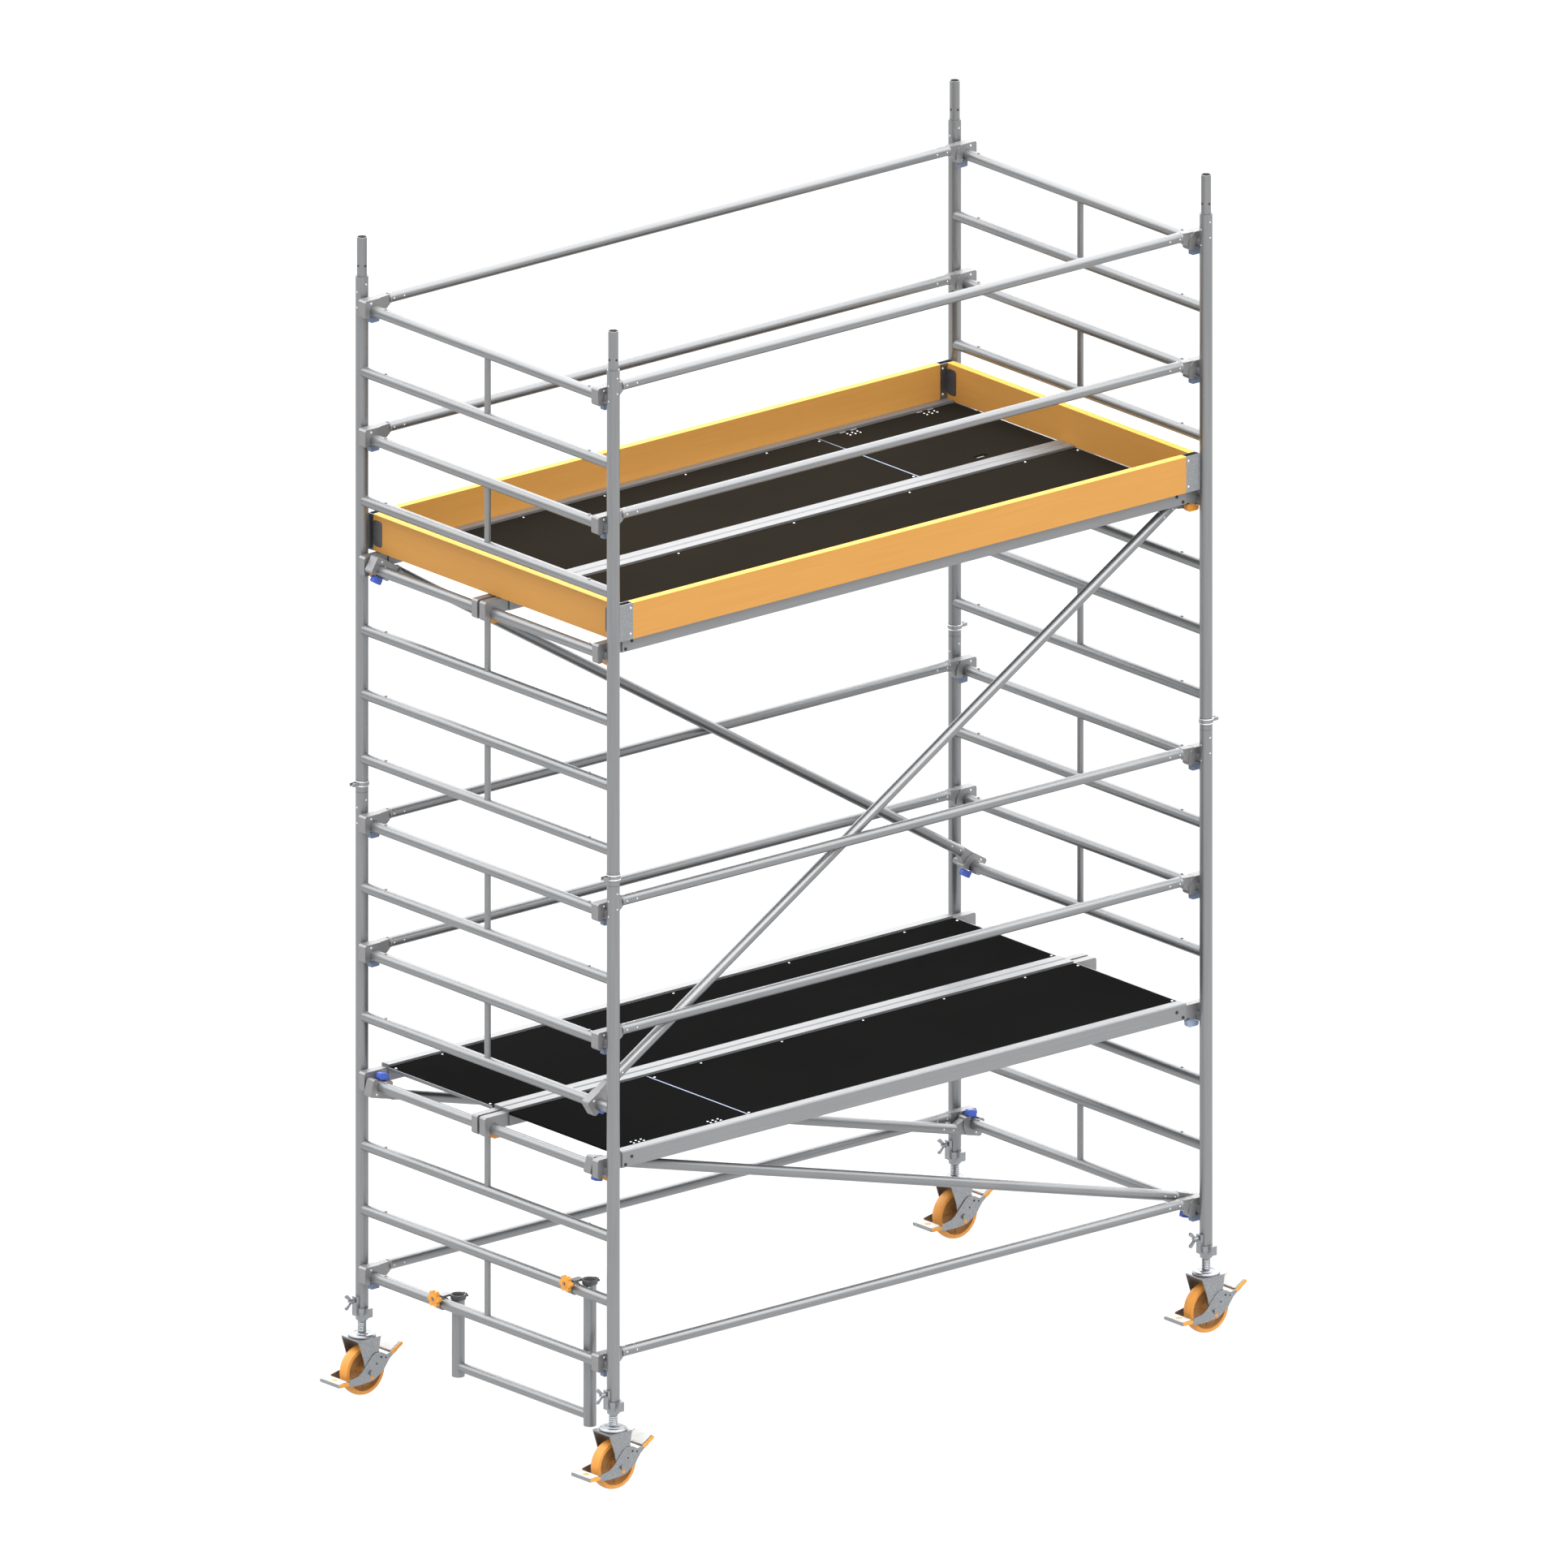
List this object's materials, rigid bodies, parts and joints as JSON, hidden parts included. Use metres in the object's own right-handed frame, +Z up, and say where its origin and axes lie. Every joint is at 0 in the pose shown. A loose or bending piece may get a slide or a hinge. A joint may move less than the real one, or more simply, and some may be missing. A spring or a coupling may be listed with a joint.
{
  "type": "baker scaffold tower",
  "caption": "Mobile access tower of aluminium ladder frames, claw braces, two deck levels with hatches, toe boards, an entry step and braked spindle castors.",
  "frame": {"origin": "on the floor under the centre of the four posts", "axes": "+X along the tower's length, +Y along the rungs towards the rear, +Z up"},
  "size_m": [3.1573, 1.562, 4.49],
  "materials": {
    "tube": "mill-finish extruded aluminium tube, satin",
    "casting": "cast aluminium, lightly tumbled",
    "deck_board": "dark phenolic-faced plywood, fine anti-slip texture",
    "toe_board": "orange-coated timber board, satin",
    "zinc": "bright zinc-plated pressed steel",
    "wheel": "orange polyurethane tread on a moulded centre",
    "orange_plastic": "moulded orange plastic",
    "blue_plastic": "moulded blue plastic",
    "grey_plastic": "moulded grey-blue plastic"
  },
  "bodies": {
    "tower": {"lower_left_frame": "tube", "lower_right_frame": "tube", "upper_left_frame": "tube", "upper_right_frame": "tube", "frame_spigots": "tube", "front_horizontal_braces": "tube", "rear_horizontal_braces": "tube", "front_upper_diagonal": "tube", "rear_upper_diagonal": "tube", "front_lower_diagonal": "tube", "rear_lower_diagonal": "tube", "lower_front_deck_frame": "tube", "lower_front_deck_board": "deck_board", "lower_rear_deck_frame": "tube", "lower_rear_deck_board": "deck_board", "upper_front_deck_frame": "tube", "upper_front_deck_board": "deck_board", "upper_rear_deck_frame": "tube", "upper_rear_deck_board": "deck_board", "brace_claws": "casting", "deck_claws": "casting", "grey_brace_latches": "grey_plastic", "blue_diagonal_latches": "blue_plastic", "orange_deck_latches": "orange_plastic", "hatch_hinges": "zinc", "joint_clips": "zinc", "toe_board_brackets": "zinc", "front_toe_board": "toe_board", "rear_toe_board": "toe_board", "left_toe_board": "toe_board", "right_toe_board": "toe_board", "entry_step": "tube"},
    "lower_hatch": {"lower_front_hatch_lid": "deck_board"},
    "upper_hatch": {"upper_rear_hatch_lid": "deck_board"},
    "near_knob": {"near_step_knob": "orange_plastic"},
    "far_knob": {"far_step_knob": "orange_plastic"},
    "rear_left_wheel": {"rear_left_wheel": "wheel"},
    "rear_left_fork": {"rear_left_fork": "zinc"},
    "rear_left_brake_lever": {"rear_left_brake_lever": "zinc"},
    "rear_left_spindle": {"rear_left_spindle": "zinc"},
    "rear_left_spindle_nut": {"rear_left_spindle_nut": "zinc"},
    "rear_left_wing_screw": {"rear_left_wing_screw": "zinc"},
    "front_left_wheel": {"front_left_wheel": "wheel"},
    "front_left_fork": {"front_left_fork": "zinc"},
    "front_left_brake_lever": {"front_left_brake_lever": "zinc"},
    "front_left_spindle": {"front_left_spindle": "zinc"},
    "front_left_spindle_nut": {"front_left_spindle_nut": "zinc"},
    "front_left_wing_screw": {"front_left_wing_screw": "zinc"},
    "rear_right_wheel": {"rear_right_wheel": "wheel"},
    "rear_right_fork": {"rear_right_fork": "zinc"},
    "rear_right_brake_lever": {"rear_right_brake_lever": "zinc"},
    "rear_right_spindle": {"rear_right_spindle": "zinc"},
    "rear_right_spindle_nut": {"rear_right_spindle_nut": "zinc"},
    "rear_right_wing_screw": {"rear_right_wing_screw": "zinc"},
    "front_right_wheel": {"front_right_wheel": "wheel"},
    "front_right_fork": {"front_right_fork": "zinc"},
    "front_right_brake_lever": {"front_right_brake_lever": "zinc"},
    "front_right_spindle": {"front_right_spindle": "zinc"},
    "front_right_spindle_nut": {"front_right_spindle_nut": "zinc"},
    "front_right_wing_screw": {"front_right_wing_screw": "zinc"}
  },
  "joints": [
    {"name": "rear_left_nut_turn", "type": "hinge", "parent": "tower", "child": "rear_left_spindle_nut", "pos_m": [-1.425, 0.72, 0.315], "axis": [0, 0, 1], "range_deg": [-2160, 7560]},
    {"name": "rear_left_spindle_slide", "type": "slide", "parent": "tower", "child": "rear_left_spindle", "axis": [0, 0, -1], "range_m": [-0.042, 0.147]},
    {"name": "rear_left_swivel", "type": "hinge", "parent": "rear_left_spindle", "child": "rear_left_fork", "pos_m": [-1.425, 0.72, 0.228], "axis": [0, 0, 1], "continuous": true},
    {"name": "rear_left_wheel_spin", "type": "hinge", "parent": "rear_left_fork", "child": "rear_left_wheel", "pos_m": [-1.425, 0.72, 0.095], "axis": [0, 1, 0], "continuous": true},
    {"name": "rear_left_brake", "type": "hinge", "parent": "rear_left_fork", "child": "rear_left_brake_lever", "pos_m": [-1.425, 0.72, 0.095], "axis": [0, 1, 0], "range_deg": [0, 18]},
    {"name": "rear_left_wing_turn", "type": "hinge", "parent": "rear_left_spindle_nut", "child": "rear_left_wing_screw", "pos_m": [-1.475, 0.72, 0.37], "axis": [-1, 0, 0], "range_deg": [0, 720]},
    {"name": "front_left_nut_turn", "type": "hinge", "parent": "tower", "child": "front_left_spindle_nut", "pos_m": [-1.425, -0.72, 0.315], "axis": [0, 0, 1], "range_deg": [-2160, 7560]},
    {"name": "front_left_spindle_slide", "type": "slide", "parent": "tower", "child": "front_left_spindle", "axis": [0, 0, -1], "range_m": [-0.042, 0.147]},
    {"name": "front_left_swivel", "type": "hinge", "parent": "front_left_spindle", "child": "front_left_fork", "pos_m": [-1.425, -0.72, 0.228], "axis": [0, 0, 1], "continuous": true},
    {"name": "front_left_wheel_spin", "type": "hinge", "parent": "front_left_fork", "child": "front_left_wheel", "pos_m": [-1.425, -0.72, 0.095], "axis": [0, 1, 0], "continuous": true},
    {"name": "front_left_brake", "type": "hinge", "parent": "front_left_fork", "child": "front_left_brake_lever", "pos_m": [-1.425, -0.72, 0.095], "axis": [0, 1, 0], "range_deg": [0, 18]},
    {"name": "front_left_wing_turn", "type": "hinge", "parent": "front_left_spindle_nut", "child": "front_left_wing_screw", "pos_m": [-1.475, -0.72, 0.37], "axis": [-1, 0, 0], "range_deg": [0, 720]},
    {"name": "rear_right_nut_turn", "type": "hinge", "parent": "tower", "child": "rear_right_spindle_nut", "pos_m": [1.425, 0.72, 0.315], "axis": [0, 0, 1], "range_deg": [-2160, 7560]},
    {"name": "rear_right_spindle_slide", "type": "slide", "parent": "tower", "child": "rear_right_spindle", "axis": [0, 0, -1], "range_m": [-0.042, 0.147]},
    {"name": "rear_right_swivel", "type": "hinge", "parent": "rear_right_spindle", "child": "rear_right_fork", "pos_m": [1.425, 0.72, 0.228], "axis": [0, 0, 1], "continuous": true},
    {"name": "rear_right_wheel_spin", "type": "hinge", "parent": "rear_right_fork", "child": "rear_right_wheel", "pos_m": [1.425, 0.72, 0.095], "axis": [0, 1, 0], "continuous": true},
    {"name": "rear_right_brake", "type": "hinge", "parent": "rear_right_fork", "child": "rear_right_brake_lever", "pos_m": [1.425, 0.72, 0.095], "axis": [0, 1, 0], "range_deg": [0, 18]},
    {"name": "rear_right_wing_turn", "type": "hinge", "parent": "rear_right_spindle_nut", "child": "rear_right_wing_screw", "pos_m": [1.375, 0.72, 0.37], "axis": [-1, 0, 0], "range_deg": [0, 720]},
    {"name": "front_right_nut_turn", "type": "hinge", "parent": "tower", "child": "front_right_spindle_nut", "pos_m": [1.425, -0.72, 0.315], "axis": [0, 0, 1], "range_deg": [-2160, 7560]},
    {"name": "front_right_spindle_slide", "type": "slide", "parent": "tower", "child": "front_right_spindle", "axis": [0, 0, -1], "range_m": [-0.042, 0.147]},
    {"name": "front_right_swivel", "type": "hinge", "parent": "front_right_spindle", "child": "front_right_fork", "pos_m": [1.425, -0.72, 0.228], "axis": [0, 0, 1], "continuous": true},
    {"name": "front_right_wheel_spin", "type": "hinge", "parent": "front_right_fork", "child": "front_right_wheel", "pos_m": [1.425, -0.72, 0.095], "axis": [0, 1, 0], "continuous": true},
    {"name": "front_right_brake", "type": "hinge", "parent": "front_right_fork", "child": "front_right_brake_lever", "pos_m": [1.425, -0.72, 0.095], "axis": [0, 1, 0], "range_deg": [0, 18]},
    {"name": "front_right_wing_turn", "type": "hinge", "parent": "front_right_spindle_nut", "child": "front_right_wing_screw", "pos_m": [1.375, -0.72, 0.37], "axis": [-1, 0, 0], "range_deg": [0, 720]},
    {"name": "lower_hatch_hinge", "type": "hinge", "parent": "tower", "child": "lower_hatch", "pos_m": [-1.031, -0.6435, 1.27], "axis": [1, 0, 0], "range_deg": [0, 75]},
    {"name": "upper_hatch_hinge", "type": "hinge", "parent": "tower", "child": "upper_hatch", "pos_m": [1.031, 0.6435, 3.27], "axis": [-1, 0, 0], "range_deg": [0, 75]},
    {"name": "near_knob_turn", "type": "hinge", "parent": "tower", "child": "near_knob", "pos_m": [-1.47, -0.49075, 0.743], "axis": [-1, 0, 0], "range_deg": [0, 1080]},
    {"name": "far_knob_turn", "type": "hinge", "parent": "tower", "child": "far_knob", "pos_m": [-1.47, 0.26325, 0.493], "axis": [-1, 0, 0], "range_deg": [0, 1080]}
  ],
  "couplings": [
    {"joint": "rear_left_spindle_slide", "follows": "rear_left_nut_turn", "m_per_rad": 0.0011141},
    {"joint": "front_left_spindle_slide", "follows": "front_left_nut_turn", "m_per_rad": 0.0011141},
    {"joint": "rear_right_spindle_slide", "follows": "rear_right_nut_turn", "m_per_rad": 0.0011141},
    {"joint": "front_right_spindle_slide", "follows": "front_right_nut_turn", "m_per_rad": 0.0011141}
  ]
}
